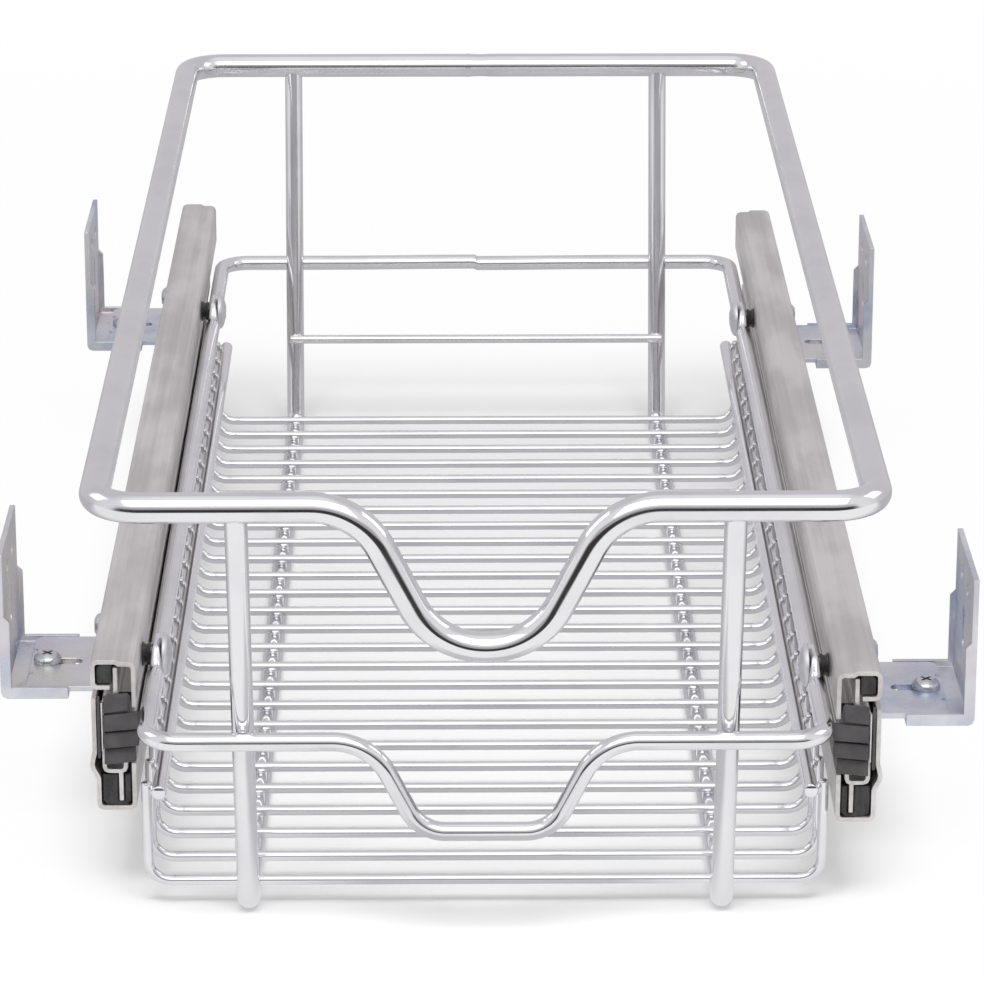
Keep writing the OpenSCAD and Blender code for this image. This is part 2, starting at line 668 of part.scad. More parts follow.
module clamp_screws() {
    color(zinc) for (side = SIDES, rear = [false, true]) on_bracket(side, rear)
        translate([clamp_x, bracket_w / 2, bracket_z]) {
            translate([0, 0, 2 * bracket_t]) pan_head(clamp_head_d, clamp_head_h);
            translate([0, 0, -nut_t - thread_over])
                cylinder(d = screw_d, h = 2 * bracket_t + nut_t + thread_over);
        }
}

module clamp_nuts() {
    color(zinc) for (side = SIDES, rear = [false, true]) on_bracket(side, rear)
        translate([clamp_x, bracket_w / 2, bracket_z - nut_t]) difference() {
            translate([-nut_w / 2, -nut_w / 2, 0]) cube([nut_w, nut_w, nut_t]);
            translate([0, 0, -1]) cylinder(d = screw_d + 2 * hole_gap, h = nut_t + 2);
        }
}

module bracket_bolts() {
    color(zinc) for (side = SIDES, rear = [false, true]) on_bracket(side, rear)
        translate([0, bolt_y, bolt_z]) rotate([0, 90, 0]) {
            translate([0, 0, bracket_t]) pan_head(pan_head_d, bolt_head_h);
            translate([0, 0, -slide_t]) cylinder(d = screw_d, h = slide_t + bracket_t);
        }
}

rim();
runner_frame();
base_wire(LEFT);  // base_wire_left
base_wire(RIGHT);  // base_wire_right
rear_crossbar();
floor_wires();
side_rod(LEFT);  // side_rod_left
side_rod(RIGHT);  // side_rod_right
lug_spacers();
lug_screws();
top_member(LEFT);  // top_member_left
top_member(RIGHT);  // top_member_right
top_block(LEFT);  // top_block_left
top_block(RIGHT);  // top_block_right
middle_member(LEFT);  // middle_member_left
middle_member(RIGHT);  // middle_member_right
bumper(LEFT);  // bumper_left
bumper(RIGHT);  // bumper_right
cabinet_member(LEFT);  // cabinet_member_left
cabinet_member(RIGHT);  // cabinet_member_right
front_stop(LEFT);  // front_stop_left
front_stop(RIGHT);  // front_stop_right
cage(LEFT, upper_ball_x, upper_ball_z);  // upper_cage_left
cage(RIGHT, upper_ball_x, upper_ball_z);  // upper_cage_right
balls(LEFT, upper_ball_x, upper_ball_z);  // upper_balls_left
balls(RIGHT, upper_ball_x, upper_ball_z);  // upper_balls_right
cage(LEFT, lower_ball_x, lower_ball_z);  // lower_cage_left
cage(RIGHT, lower_ball_x, lower_ball_z);  // lower_cage_right
balls(LEFT, lower_ball_x, lower_ball_z);  // lower_balls_left
balls(RIGHT, lower_ball_x, lower_ball_z);  // lower_balls_right
slide_plate(LEFT, false);  // slide_plate_left_front
slide_plate(LEFT, true);  // slide_plate_left_rear
slide_plate(RIGHT, false);  // slide_plate_right_front
slide_plate(RIGHT, true);  // slide_plate_right_rear
wall_angle(LEFT, false);  // wall_angle_left_front
wall_angle(LEFT, true);  // wall_angle_left_rear
wall_angle(RIGHT, false);  // wall_angle_right_front
wall_angle(RIGHT, true);  // wall_angle_right_rear
clamp_screws();
clamp_nuts();
bracket_bolts();
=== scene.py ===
# Pull-out wire basket on two telescopic slides, with four adjustable cabinet brackets.
# Lengths in the sizes below are in millimetres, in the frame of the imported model.
import math
import bmesh
import bpy
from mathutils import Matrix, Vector


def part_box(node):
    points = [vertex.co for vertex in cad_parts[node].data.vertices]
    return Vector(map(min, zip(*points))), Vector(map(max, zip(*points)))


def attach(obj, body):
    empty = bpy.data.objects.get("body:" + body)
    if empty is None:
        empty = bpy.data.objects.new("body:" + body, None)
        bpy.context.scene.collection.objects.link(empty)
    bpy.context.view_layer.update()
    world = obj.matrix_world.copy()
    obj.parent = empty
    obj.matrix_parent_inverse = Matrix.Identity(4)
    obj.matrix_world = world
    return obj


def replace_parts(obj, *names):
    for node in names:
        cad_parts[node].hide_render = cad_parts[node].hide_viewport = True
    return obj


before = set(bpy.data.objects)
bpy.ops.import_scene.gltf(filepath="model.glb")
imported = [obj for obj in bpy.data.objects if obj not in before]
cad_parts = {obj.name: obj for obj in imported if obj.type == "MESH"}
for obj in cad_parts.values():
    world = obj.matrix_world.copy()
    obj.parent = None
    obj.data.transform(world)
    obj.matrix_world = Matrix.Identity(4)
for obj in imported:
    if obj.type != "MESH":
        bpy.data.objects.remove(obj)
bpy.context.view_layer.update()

# Base wires: two thick steel rods, cut to length, bent up at both ends and bright chromed with the
# rest of the basket. The bottom run carries the floor, and each upright leans outwards to the rim.
RIM_Z, RIM_FRONT, RIM_REAR, RIM_D = 125.8, -243.485, 221.515, 8.0
BASE_D, BASE_W, BASE_Z = 6.0, 127.0, 3.015
FOOT_FRONT, FOOT_REAR, FOOT_R = -212.5, 194.0, 5.0
UPRIGHT_TOP = RIM_Z - 1.6
# A rod's softened end, as insets in diameters and shares of its thickness, and the spacing of the points
# along a straight: the ones beside its ends, and the shortest straight that gets them
ROD_END = [(0, 0.80), (0.05, 0.95), (0.10, 1.0)]
CLOSE, SHORT_RUN = 0.9, 4
SIDES = {"left": -1, "right": 1}


def upright_y(z, rear):
    """Place of a front or rear upright's centre at height z."""
    foot, top = (FOOT_REAR, RIM_REAR) if rear else (FOOT_FRONT, RIM_FRONT)
    return foot + (top - foot) * (z - BASE_Z) / (RIM_Z - BASE_Z)


def bent(corners, radii, steps=10):
    """Centre line of a rod bent at its corners, each bend an arc of its own radius. Points close to the
    ends of each straight keep its reflections straight."""
    corners = [Vector(c) for c in corners]
    line = [corners[0]]
    for before, corner, after, radius in zip(corners, corners[1:], corners[2:], radii[1:]):
        back, ahead = (before - corner).normalized(), (after - corner).normalized()
        turn = math.pi - back.angle(ahead)
        middle = corner + (back + ahead).normalized() * radius / math.cos(turn / 2)
        start = corner + back * radius * math.tan(turn / 2) - middle
        end = corner + ahead * radius * math.tan(turn / 2) - middle
        if (middle + start - line[-1]).length > SHORT_RUN:
            line += [line[-1] + (middle + start - line[-1]).normalized() * CLOSE,
                     middle + start + back * CLOSE]
        for k in range(steps + 1):
            share = k / steps
            line.append(middle + (start * math.sin((1 - share) * turn) + end * math.sin(share * turn))
                        / math.sin(turn))
    line += [line[-1] + (corners[-1] - line[-1]).normalized() * CLOSE,
             corners[-1] + (line[-1] - corners[-1]).normalized() * CLOSE, corners[-1]]
    return line


def swept(mesh, line, d, plane, around=24, closed=False, section=None):
    """Adds a round rod along a line. section gives a point's half width, half height and rise."""
    count = len(line)
    rings = []
    for i, point in enumerate(line):
        ahead = line[(i + 1) % count] if closed or i < count - 1 else point
        behind = line[i - 1] if closed or i > 0 else point
        along = (ahead - behind).normalized()
        across = along.cross(plane).normalized()
        up = across.cross(along)
        wide, high, rise = section(point) if section else (d / 2, d / 2, 0)
        ends = [(point, 1.0)]
        if not closed and i == 0:
            ends = [(point + along * d * inset, size) for inset, size in ROD_END]
        if not closed and i == count - 1:
            ends = [(point - along * d * inset, size) for inset, size in ROD_END[::-1]]
        for middle, size in ends:
            ring = []
            for k in range(around):
                turn = math.tau * k / around
                spot = middle + across * math.cos(turn) * wide * size + up * math.sin(turn) * high * size
                ring.append(mesh.verts.new((spot + Vector((0, 0, rise))) / 1000))
            rings.append(ring)
    for a, b in zip(rings, rings[1:] + rings[:1] if closed else rings[1:]):
        for k in range(around):
            mesh.faces.new((a[k], b[k], b[(k + 1) % around], a[(k + 1) % around]))
    if not closed:
        mesh.faces.new(rings[0])
        mesh.faces.new(rings[-1][::-1])


def made(name, mesh, body, material, sharp=35):
    """Turns a built mesh into a piece of the object that rides on a body."""
    bmesh.ops.recalc_face_normals(mesh, faces=mesh.faces)
    data = bpy.data.meshes.new(name)
    mesh.to_mesh(data)
    mesh.free()
    data.polygons.foreach_set("use_smooth", [True] * len(data.polygons))
    data.set_sharp_from_angle(angle=math.radians(sharp))
    piece = bpy.data.objects.new(name, data)
    bpy.context.scene.collection.objects.link(piece)
    data.materials.append(material)
    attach(piece, body)
    return piece


class Look:
    """Wraps one socket of a material's nodes, so that shader maths is written as plain sums."""

    def __init__(self, tree, socket=None):
        self.tree, self.socket = tree, socket

    def node(self, kind, settings=None, sockets=None, out=0):
        """A new node: its settings are set first, and then its sockets are given values or links."""
        made_node = self.tree.nodes.new(kind)
        for key, value in (settings or {}).items():
            setattr(made_node, key, value)
        for key, value in (sockets or {}).items():
            if isinstance(value, Look):
                self.tree.links.new(value.socket, made_node.inputs[key])
            else:
                made_node.inputs[key].default_value = value
        return Look(self.tree, made_node.outputs[out])

    def sum(self, operation, first, second):
        return self.node("ShaderNodeMath", {"operation": operation}, {0: first, 1: second})

    def __add__(self, other):
        return self.sum("ADD", self, other)

    def __radd__(self, other):
        return self.sum("ADD", other, self)

    def __sub__(self, other):
        return self.sum("SUBTRACT", self, other)

    def __rsub__(self, other):
        return self.sum("SUBTRACT", other, self)

    def __mul__(self, other):
        return self.sum("MULTIPLY", self, other)

    def __rmul__(self, other):
        return self.sum("MULTIPLY", other, self)

    def scaled(self, x, y, z):
        """A place stretched along its axes, for grain that runs one way."""
        return self.node("ShaderNodeVectorMath", {"operation": "MULTIPLY"}, {0: self, 1: (x, y, z)})

    def grain(self, scale, detail=3.0, roughness=0.5):
        """Noise at a place."""
        return self.node("ShaderNodeTexNoise", None,
                         {"Vector": self, "Scale": scale, "Detail": detail, "Roughness": roughness})

    def rising(self, low, high):
        """0 below low and 1 above high, with a smooth rise."""
        return self.node("ShaderNodeMapRange", {"interpolation_type": "SMOOTHSTEP"},
                         {0: self, 1: low, 2: high})

    def between(self, first, second):
        """The first colour at 0 and the second at 1."""
        return self.node("ShaderNodeMix", {"data_type": "RGBA"},
                         {0: self, 6: self.colour(first), 7: self.colour(second)}, out=2)

    @staticmethod
    def colour(value):
        return value if isinstance(value, Look) else (*value, 1)


def finish(name, **constants):
    """A new material: its shader with the sockets that are the same all over, and its surface place."""
    material = bpy.data.materials.new(name)
    material.use_nodes = True
    shader = material.node_tree.nodes["Principled BSDF"]
    for socket, value in constants.items():
        shader.inputs[socket.replace("_", " ")].default_value = value
    place = Look(material.node_tree).node("ShaderNodeTexCoord", out=3)
    return material, shader, place


def worn(shader, height=None, strength=0.1, depth=0.0001, **varying):
    """Links what changes over the surface, and a bump from height."""
    for socket, value in varying.items():
        value.tree.links.new(value.socket, shader.inputs[socket.replace("_", " ")])
    if height:
        bump = height.node("ShaderNodeBump", None,
                           {"Strength": strength, "Distance": depth, "Height": height})
        height.tree.links.new(bump.socket, shader.inputs["Normal"])


# Bright chrome plate over polished rod: clear, with a breath of haze and the rod's own slight waviness
chrome, shader, place = finish("bright_chrome", Metallic=1.0)
haze = place.grain(42, 4).rising(0.42, 0.72)
waves = place.grain(95, 2)
worn(shader, waves, strength=0.05, depth=0.0004,
     Base_Color=haze.between((0.87, 0.87, 0.885), (0.80, 0.80, 0.825)),
     Roughness=0.07 + haze * 0.09 + place.grain(900, 2) * 0.03)

for side, sign in SIDES.items():
    mesh = bmesh.new()
    x = sign * BASE_W / 2
    front_top = (x, upright_y(UPRIGHT_TOP, False), UPRIGHT_TOP)
    rear_top = (x, upright_y(UPRIGHT_TOP, True), UPRIGHT_TOP)
    line = bent([front_top, (x, FOOT_FRONT, BASE_Z), (x, FOOT_REAR, BASE_Z), rear_top],
                [0, FOOT_R, FOOT_R, 0])
    swept(mesh, line, BASE_D, Vector((1, 0, 0)), around=32)
    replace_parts(made(f"base_rod_{side}", mesh, "basket", chrome), f"base_wire_{side}")

# Floor wires: 26 thin wires, each bent to a wide U with its cut ends standing up past the side rods,
# resistance-welded across the base wires at an even pitch.
FLOOR_D, FLOOR_X, FLOOR_COUNT, FLOOR_L, FLOOR_R, TIP_Z = 2.8, 90.4, 26, 393.0, 6, 36.0
FLOOR_Z = BASE_Z + BASE_D / 2 + FLOOR_D / 2
FLOOR_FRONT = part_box("floor_wires")[0][1] * 1000 + FLOOR_D / 2
FLOOR_Y = [FLOOR_FRONT + k * FLOOR_L / (FLOOR_COUNT - 1) for k in range(FLOOR_COUNT)]
mesh = bmesh.new()
for y in FLOOR_Y:
    line = bent([(-FLOOR_X, y, TIP_Z), (-FLOOR_X, y, FLOOR_Z), (FLOOR_X, y, FLOOR_Z), (FLOOR_X, y, TIP_Z)],
                [0, FLOOR_R, FLOOR_R, 0], steps=7)
    swept(mesh, line, FLOOR_D, Vector((0, 1, 0)), around=18)
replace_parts(made("floor_wires_bent", mesh, "basket", chrome), "floor_wires")

# Side rods: two straight chromed rods, welded along the inside of the floor wires' standing ends, so
# that the ends can't spread. They reach a little past the first and last wire.
SIDE_ROD_D, SIDE_ROD_X, SIDE_ROD_Z, SIDE_ROD_OVER = 4.0, 87.0, 33.6, 2.4
for side, sign in SIDES.items():
    mesh = bmesh.new()
    x = sign * SIDE_ROD_X
    ends = [(x, FLOOR_Y[0] - SIDE_ROD_OVER, SIDE_ROD_Z), (x, FLOOR_Y[-1] + SIDE_ROD_OVER, SIDE_ROD_Z)]
    swept(mesh, bent(ends, []), SIDE_ROD_D, Vector((1, 0, 0)))
    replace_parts(made(f"side_rod_{side}_bar", mesh, "basket", chrome), f"side_rod_{side}")

# Rear crossbar: a short thin chromed bar, cut to length and welded across the inner faces of the two
# rear uprights, at the height of the side rods.
CROSS_D, CROSS_L = 3.0, 130.6
cross_y = (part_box("rear_crossbar")[0][1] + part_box("rear_crossbar")[1][1]) * 500
mesh = bmesh.new()
ends = [(sign * CROSS_L / 2, cross_y, SIDE_ROD_Z) for sign in SIDES.values()]
swept(mesh, bent(ends, []), CROSS_D, Vector((0, 1, 0)))
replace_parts(made("rear_crossbar_rod", mesh, "basket", chrome), "rear_crossbar")

# Runner frame: one rod bent to a closed rectangle that dips in front. Behind, its two ends are butt
# welded with a small step. Its side bars are pressed flat into four drilled eyes for the slides' screws.
RUNNER_D, RUNNER_X, RUNNER_Z, RUNNER_BEAD = 5.0, 89.0, 57.0, 0.2
RUNNER_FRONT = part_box("runner_frame")[0][1] * 1000 + RUNNER_D / 2
RUNNER_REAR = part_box("runner_frame")[1][1] * 1000 - RUNNER_D / 2 - RUNNER_BEAD
LUG_Y = [28.0, 348.0]
LUG_T, EYE_R, EYE_HALF, LUG_RISE = 3.2, 4.5, 4.0, 2.5
EYE_RAMP, EYE_RUN_IN, EYE_FULL = 4, 2.5, 0.2
JOINT_STEP, JOINT_FADE, JOINT_TURN, JOINT_SWELL = 0.55, 48, 0.6, 0.08
SLIDE_FRONT, RIGHT_LEAD = -202.5, 10
SIDE_FRONT = {"left": SLIDE_FRONT, "right": SLIDE_FRONT - RIGHT_LEAD}
DIP_WALL = math.radians(63)
# Points along a frame: their longest gap, how near a spot has to lie, and the least gaps at a corner and
# between two points
LONGEST, ON_LINE, END_GAP, LEAST_GAP = 12, 4, 0.02, 0.05


def dipped_loop(half_w, front, rear, z, corner_r, depth, flat, low_r, top_r):
    """Centre line of a closed frame whose front bar dips in the middle."""
    foot = flat + low_r * math.tan(DIP_WALL / 2)
    knee = foot + depth / math.tan(DIP_WALL)
    half = [(0, rear, z), (half_w, rear, z), (half_w, front, z), (knee, front, z), (foot, front, z - depth)]
    radii = [0, corner_r, corner_r, top_r, low_r]
    return bent(half + [(-x, y, height) for x, y, height in half[::-1]], radii + radii[::-1], steps=16)


def near(value, centre, reach):
    """1 at the centre, falling smoothly to 0 at reach."""
    share = max(0.0, 1 - abs(value - centre) / reach)
    return share * share * (3 - 2 * share)


def runner_section(point):
    """Half width, half height and rise of the rod at a point: flat at the eyes, stepped at the joint."""
    wide = high = RUNNER_D / 2
    rise = 0.0
    side = "left" if point.x < 0 else "right"
    if abs(point.x) > RUNNER_X - 0.1:
        for y in LUG_Y:
            off = abs(point.y - SIDE_FRONT[side] - y)
            if off < EYE_HALF + EYE_R:
                high = math.sqrt(max(0.01, EYE_R ** 2 - max(0, off - EYE_HALF) ** 2))
                share = min(1, high / EYE_R)
                high = max(high, RUNNER_D / 2 + (1 - share) * EYE_FULL)
                rise = LUG_RISE * min(1, max(0, (EYE_HALF + EYE_R - off) / EYE_RAMP))
            flat = max(0, min(1, (EYE_HALF + EYE_R + EYE_RUN_IN - off) / EYE_RAMP))
            flat = flat * flat * (3 - 2 * flat)
            wide = min(wide, RUNNER_D / 2 + (LUG_T / 2 - RUNNER_D / 2) * flat)
    swell = 0
    if point.y > 0 and abs(point.x) < JOINT_FADE:
        swell = JOINT_SWELL * near(point.x, 0, 2 * JOINT_TURN)
        rise -= max(-1, min(1, point.x / JOINT_TURN)) * JOINT_STEP / 2 * near(point.x, 0, JOINT_FADE)
    return wide + swell, high + swell, rise


def frame_line(line, spots):
    """The line with extra points close to each spot, for the shapes that are pressed or welded there.
    Each spot gives its place, how far the extra points reach, and the gap between them."""
    out = [line[0]]
    for a, b in zip(line, line[1:]):
        length = (b - a).length
        parts = max(1, math.ceil(length / LONGEST))
        shares = {1.0} | {k / parts for k in range(1, parts)}
        for spot, reach, gap in spots:
            middle = (spot - a).dot(b - a) / length if length else 0
            if length and ((a + (b - a) * middle / length) - spot).length < ON_LINE:
                steps = int(reach / gap)
                shares |= {(middle + k * gap) / length for k in range(-steps, steps + 1)
                           if END_GAP < middle + k * gap < length - END_GAP}
        last = 0.0
        for share in sorted(shares):
            if (share - last) * length > LEAST_GAP:
                out.append(a.lerp(b, share))
                last = share
    return out


mesh = bmesh.new()
loop = dipped_loop(RUNNER_X, RUNNER_FRONT, RUNNER_REAR, RUNNER_Z,
                   corner_r=9, depth=25.5, flat=10.5, low_r=11, top_r=16)
joint = Vector((0, RUNNER_REAR, RUNNER_Z))
spots = [(Vector((sign * RUNNER_X, SIDE_FRONT[side] + y, RUNNER_Z)), 12, 0.5)
         for side, sign in SIDES.items() for y in LUG_Y]
spots += [(joint, 2.4, 0.3), (joint, JOINT_FADE, 4.0)]
swept(mesh, frame_line(loop, spots)[:-1], RUNNER_D, Vector((0, 0, 1)), around=32, closed=True,
      section=runner_section)
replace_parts(made("runner_frame_rod", mesh, "basket", chrome), "runner_frame")

# Rim: the thickest rod, a closed rectangle with a deeper dip in front for a hand to pull. It is butt
# welded behind, where the weld is dressed to a short patch, and laid on the four uprights' cut ends.
RIM_X = 100.0
LIP_X, LIP_REACH, LIP_SWELL = -2.6, 0.9, 0.12
PATCH_X, PATCH_REACH, PATCH_DEPTH = 1.6, 4.4, 0.16


def rim_section(point):
    """Half width, half height and rise of the rim: a low lip and a dressed patch at the rear joint."""
    swell = 0
    if point.y > 0:
        swell = (LIP_SWELL * near(point.x, LIP_X, LIP_REACH)
                 - PATCH_DEPTH * near(point.x, PATCH_X, PATCH_REACH))
    return RIM_D / 2 + swell, RIM_D / 2 + swell, 0


mesh = bmesh.new()
loop = dipped_loop(RIM_X, RIM_FRONT, RIM_REAR, RIM_Z, corner_r=12.5, depth=38, flat=0.2, low_r=21, top_r=20)
line = frame_line(loop, [(Vector((0, RIM_REAR, RIM_Z)), 7.2, 0.3)])[:-1]
swept(mesh, line, RIM_D, Vector((0, 0, 1)), around=40, closed=True, section=rim_section)
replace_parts(made("rim_rod", mesh, "basket", chrome), "rim")

# Weld flashes: the small bulge of metal that is pressed out where two wires are resistance-welded,
# chromed over with them. One lies at each crossing of the floor and at the uprights' welds.
WELD_FLOOR, WELD_TIP = (1.5, 1.1, 0.45), (0.6, 1.5, 1.7)
WELD_RUNNER, WELD_CROSS, WELD_RISE = (2.3, 0.9, 2.1), (1.7, 0.8, 1.5), 0.3


def nugget(mesh, middle, sizes, turn=0.0):
    """A low rounded lump of the given half sizes, turned about X."""
    middle, rows, cols = Vector(middle), 6, 10
    lean = Vector((0, math.cos(turn), math.sin(turn)))
    rise = Vector((0, -math.sin(turn), math.cos(turn)))
    ends = [mesh.verts.new((middle + rise * s * sizes[2]) / 1000) for s in (1, -1)]
    rings = []
    for r in range(1, rows):
        tilt = math.pi * r / rows
        ring = []
        for c in range(cols):
            around = math.tau * c / cols
            spot = (middle + Vector((1, 0, 0)) * math.sin(tilt) * math.cos(around) * sizes[0]
                    + lean * math.sin(tilt) * math.sin(around) * sizes[1]
                    + rise * math.cos(tilt) * sizes[2])
            ring.append(mesh.verts.new(spot / 1000))
        rings.append(ring)
    for c in range(cols):
        mesh.faces.new((ends[0], rings[0][c], rings[0][(c + 1) % cols]))
        mesh.faces.new((ends[1], rings[-1][(c + 1) % cols], rings[-1][c]))
        for a, b in zip(rings, rings[1:]):
            mesh.faces.new((a[c], b[c], b[(c + 1) % cols], a[(c + 1) % cols]))


mesh = bmesh.new()
for sign in SIDES.values():
    for y in FLOOR_Y:
        nugget(mesh, (sign * BASE_W / 2, y, FLOOR_Z - FLOOR_D / 2), WELD_FLOOR)
        nugget(mesh, (sign * (FLOOR_X - FLOOR_D / 2), y, SIDE_ROD_Z), WELD_TIP)
    for rear in (False, True):
        back = 1 if rear else -1
        lean = math.atan2(upright_y(100, rear) - upright_y(0, rear), 100)
        touch = (RUNNER_REAR - RUNNER_D / 2) if rear else (RUNNER_FRONT + RUNNER_D / 2)
        nugget(mesh, (sign * BASE_W / 2, touch, RUNNER_Z + WELD_RISE * back), WELD_RUNNER, -lean)
    nugget(mesh, (sign * BASE_W / 2, cross_y + CROSS_D / 2, SIDE_ROD_Z), WELD_CROSS)
made("weld_flashes", mesh, "basket", chrome, sharp=80)

# Lug spacers: waisted black plastic collars that keep the frame's eyes clear of the slides. Each is
# clamped between an eye and the slide's top member by the lug screw through it.
plastic, shader, place = finish("moulded_black_plastic", Specular_IOR_Level=0.5)
grain = place.scaled(1, 1, 0.25).grain(900, 3)
mottle = place.scaled(1, 1, 0.4).grain(420, 3).rising(0.35, 0.7)
worn(shader, grain, strength=0.35, depth=0.0002,
     Base_Color=mottle.between((0.014, 0.013, 0.014), (0.045, 0.043, 0.043)),
     Roughness=0.20 + mottle * 0.22)
SLIDE_X, SLIDE_Z, SLIDE_W, SLIDE_T = 93.0, 25.5, 12.0, 1.2
LUG_Z = RUNNER_Z + LUG_RISE
LUG_GAP = SLIDE_X - RUNNER_X - LUG_T / 2
# Distance from the eye and radius, round the outside and back along the bore
SPACER = [(0, 2.1), (0, 3.0), (0.25, 3.2), (LUG_GAP / 2, 2.75), (LUG_GAP - 0.25, 3.4), (LUG_GAP, 3.2),
          (LUG_GAP, 2.1), (0, 2.1)]


def turned(mesh, profile, origin, axis, around=40):
    """Adds a body turned on a lathe: profile gives distance along the axis and radius."""
    origin, axis = Vector(origin), Vector(axis).normalized()
    across = axis.orthogonal().normalized()
    other = axis.cross(across)
    rings = []
    for along, radius in profile:
        ring = []
        for k in range(around):
            turn = math.tau * k / around
            spot = origin + axis * along + (across * math.cos(turn) + other * math.sin(turn)) * radius
            ring.append(mesh.verts.new(spot / 1000))
        rings.append(ring)
    for a, b in zip(rings, rings[1:]):
        for k in range(around):
            mesh.faces.new((a[k], b[k], b[(k + 1) % around], a[(k + 1) % around]))


mesh = bmesh.new()
for side, sign in SIDES.items():
    for y in LUG_Y:
        turned(mesh, SPACER, (sign * (RUNNER_X + LUG_T / 2), SIDE_FRONT[side] + y, LUG_Z), (sign, 0, 0))
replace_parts(made("lug_spacer_rings", mesh, "basket", plastic), "lug_spacers")

# Lug screws: satin chromed screws with wide low-domed heads and cross recesses, inside the basket. Each
# is driven through its eye and spacer into the slide's top member.
satin_screw, shader, place = finish("satin_chrome_screw", Metallic=1.0)
cloud = place.grain(310, 3).rising(0.35, 0.7)
worn(shader, place.grain(900, 2), strength=0.1, depth=0.00008,
     Base_Color=cloud.between((0.74, 0.74, 0.755), (0.82, 0.82, 0.83)),
     Roughness=0.40 + cloud * 0.12)
# A pan head's flank, as shares of its height and radius
PAN = [(0.38, 1), (0.62, 0.93), (0.82, 0.80), (0.94, 0.64)]


def pan_screw(mesh, seat, axis, head_d, head_h, shank_d, shank_l, dome=False):
    """A screw with a cross recess: seat is the middle of the head's underside, axis points out of the
    head, and the shank runs the other way. Its head is a pan, or a wide low dome."""
    seat, axis = Vector(seat), Vector(axis).normalized()
    across = axis.orthogonal().normalized()
    other = axis.cross(across)
    r, around = head_d / 2, 64
    cross, slot = (0.30, head_d * 0.04) if dome else (0.50, head_d * 0.055)
    if dome:
        crown = [(0.0, r - 0.2), (0.2, r)]
        crown += [(0.5 + (head_h - 0.5) * math.sin(a * math.pi / 18), r * math.cos(a * math.pi / 18))
                  for a in range(7)]
    else:
        crown = [(0.0, r - 0.15), (0.15, r)] + [(head_h * high, r * wide) for high, wide in PAN]

    def ring(height, radius, crossed=False):
        spots = []
        for k in range(around):
            turn = math.tau * k / around
            reach = radius
            if crossed:
                reach = min(radius, slot / max(min(abs(math.cos(turn)), abs(math.sin(turn))), 1e-4))
            spots.append(mesh.verts.new((seat + axis * height + (across * math.cos(turn)
                                         + other * math.sin(turn)) * reach) / 1000))
        return spots

    # The head's outside, then the recess: its mouth, its four-armed walls and its floor
    rings = [ring(h, w) for h, w in crown]
    rings.append(ring(head_h, r * (cross + 0.06)))
    rings.append(ring(head_h, r * cross, True))
    rings.append(ring(head_h * 0.5, r * cross * 0.85, True))
    low = ring(head_h * 0.38, r * 0.12)
    rings.append(low)
    mesh.faces.new(low[::-1])
    neck = [ring(0, shank_d / 2), ring(-shank_l + 0.3, shank_d / 2), ring(-shank_l, shank_d / 2 - 0.3)]
    rings = neck[::-1] + rings
    mesh.faces.new(neck[-1])
    for a, b in zip(rings, rings[1:]):
        for k in range(around):
            mesh.faces.new((a[k], a[(k + 1) % around], b[(k + 1) % around], b[k]))


SCREW_D, LUG_HEAD_D, LUG_HEAD_H, LUG_OVER = 4.0, 12.0, 2.5, 1.1
LUG_SHANK = SLIDE_X - RUNNER_X + LUG_T / 2 + SLIDE_T + LUG_OVER
mesh = bmesh.new()
for side, sign in SIDES.items():
    for y in LUG_Y:
        pan_screw(mesh, (sign * (RUNNER_X - LUG_T / 2), SIDE_FRONT[side] + y, LUG_Z), (-sign, 0, 0),
                  LUG_HEAD_D, LUG_HEAD_H, SCREW_D, LUG_SHANK, dome=True)
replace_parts(made("lug_screw_set", mesh, "basket", satin_screw, sharp=40), "lug_screws")

# Cabinet members: roll-formed galvanised channels whose outer wall steps out and rises as the web
# that the brackets are bolted to. Each lies still while the rest of its slide runs out.
slide_steel, shader, place = finish("galvanised_slide_steel", Metallic=0.9)
drawn = place.scaled(1, 0.012, 1)
streak = drawn.grain(1500, 4, 0.6)
band = drawn.grain(330, 3).rising(0.3, 0.7)
cloud = place.scaled(1, 0.35, 1).grain(70, 4).rising(0.35, 0.68)
worn(shader, streak, strength=0.22, depth=0.0002,
     Base_Color=(cloud * 0.45 + band * 0.4 + streak * 0.3).rising(0.1, 0.95).between(
         (0.59, 0.57, 0.555), (0.83, 0.81, 0.80)),
     Roughness=0.30 + cloud * 0.14 + streak * 0.12,
     Metallic=0.80 + band * 0.15)


def softened(piece, width, steps=4, angle=40):
    """Rounds those edges of a piece that turn by more than an angle."""
    bevel = piece.modifiers.new("rounded_edges", "BEVEL")
    bevel.width, bevel.segments, bevel.limit_method = width / 1000, steps, "ANGLE"
    bevel.angle_limit = math.radians(angle)
    return piece


def refined(name, node, body, material, width=0.18, sharp=32):
    """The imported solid's own shape with its edges broken, in this piece's finish."""
    mesh = bmesh.new()
    mesh.from_mesh(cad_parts[node].data)
    bmesh.ops.remove_doubles(mesh, verts=mesh.verts, dist=2e-6)
    bmesh.ops.dissolve_limit(mesh, angle_limit=math.radians(0.6), verts=mesh.verts, edges=mesh.edges)
    piece = made(name, mesh, body, material, sharp)
    if width:
        softened(piece, width, steps=2, angle=50)
    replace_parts(piece, node)


for side in SIDES:
    refined(f"cabinet_rail_{side}", f"cabinet_member_{side}", "cabinet_side", slide_steel)

# Front stops: black plastic blocks pushed into the front of each cabinet channel, slotted for the web
# of the middle member.
for side in SIDES:
    refined(f"channel_block_{side}", f"front_stop_{side}", "cabinet_side", plastic, width=0.3)

